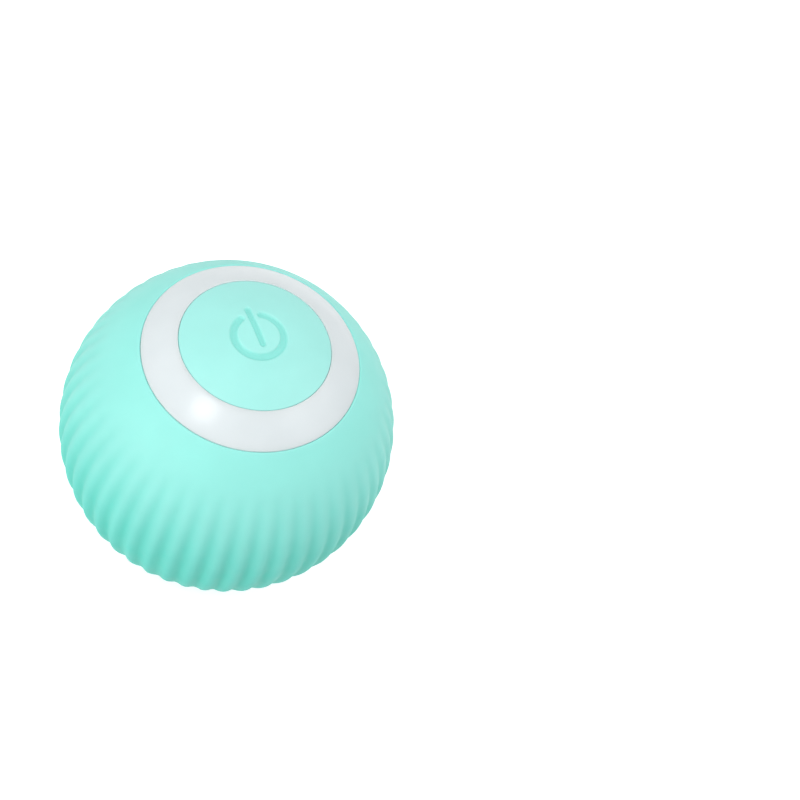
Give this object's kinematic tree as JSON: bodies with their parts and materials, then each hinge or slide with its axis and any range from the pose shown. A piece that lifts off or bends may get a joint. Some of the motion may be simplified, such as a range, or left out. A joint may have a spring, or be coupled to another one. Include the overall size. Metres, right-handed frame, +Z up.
{
  "type": "self rolling cat ball",
  "caption": "Ball with a ribbed soft sleeve, a lit ring round a push button on top, and a geared motor inside that swings an eccentric weight to roll it.",
  "frame": {"origin": "centre of the small flat under the ball, with the button straight above", "axes": "+Z up through the button, +X towards the charging socket and the weight, +Y the upright direction of the power symbol"},
  "size_m": [0.043, 0.043, 0.0428],
  "materials": {
    "silicone": "matt soft silicone",
    "button_plastic": "satin",
    "diffuser": "milky, translucent, satin gloss",
    "shell_plastic": "moulded, satin",
    "board": "solder mask",
    "black_plastic": "moulded, matt",
    "white_plastic": "moulded, satin",
    "lamp": "clear lens",
    "steel": "bright plated",
    "brass": "turned",
    "cell": "foil pouch",
    "foam": "foam tape",
    "red_wire": "soft insulation",
    "black_wire": "soft insulation"
  },
  "bodies": {
    "housing": {"sleeve": "silicone", "light_ring": "diffuser", "upper_shell": "shell_plastic", "lower_shell": "shell_plastic", "shell_screw_1": "steel", "shell_screw_2": "steel", "shell_screw_3": "steel", "shell_screw_4": "steel", "circuit_board": "board", "board_screw_1": "steel", "board_screw_2": "steel", "switch_body": "black_plastic", "led_1": "lamp", "led_2": "lamp", "led_3": "lamp", "led_4": "lamp", "control_chip": "black_plastic", "charge_chip": "black_plastic", "vibration_sensor": "brass", "capacitor": "steel", "usb_shell": "steel", "usb_tongue": "black_plastic", "battery": "cell", "foam_pad": "foam", "battery_lead_1": "red_wire", "battery_lead_2": "black_wire", "motor_lead_1": "red_wire", "motor_lead_2": "black_wire", "motor_can": "steel", "motor_end_cap": "white_plastic", "motor_terminal_1": "brass", "motor_terminal_2": "brass", "gearbox_housing": "white_plastic", "gearbox_cover": "white_plastic", "cover_screw_1": "steel", "cover_screw_2": "steel", "gearbox_screw_1": "steel", "gearbox_screw_2": "steel", "lay_pin": "steel", "output_bush": "brass"},
    "button": {"button_cap": "button_plastic"},
    "plunger": {"switch_plunger": "white_plastic"},
    "rotor": {"motor_shaft": "steel", "motor_pinion": "brass"},
    "lay_shaft": {"lay_gear": "white_plastic"},
    "output": {"output_gear": "white_plastic", "output_shaft": "steel", "eccentric_weight": "steel", "weight_screw": "steel"}
  },
  "joints": [
    {"name": "button_press", "type": "slide", "parent": "housing", "child": "button", "axis": [0, 0, -1], "range_m": [0, 0.0003], "stiffness_N_per_m": 900, "springref_m": -0.0004},
    {"name": "plunger_press", "type": "slide", "parent": "housing", "child": "plunger", "axis": [0, 0, -1], "range_m": [0, 0.0003]},
    {"name": "weight_spin", "type": "hinge", "parent": "housing", "child": "output", "pos_m": [0, 0, 0.01793], "axis": [1, 0, 0], "continuous": true},
    {"name": "lay_spin", "type": "hinge", "parent": "housing", "child": "lay_shaft", "pos_m": [0, 0, 0.01231], "axis": [1, 0, 0], "continuous": true},
    {"name": "motor_spin", "type": "hinge", "parent": "housing", "child": "rotor", "pos_m": [0, 0, 0.01793], "axis": [1, 0, 0], "continuous": true}
  ],
  "couplings": [
    {"joint": "plunger_press", "follows": "button_press", "ratio": 1},
    {"joint": "lay_spin", "follows": "weight_spin", "ratio": -4},
    {"joint": "motor_spin", "follows": "weight_spin", "ratio": 16}
  ]
}
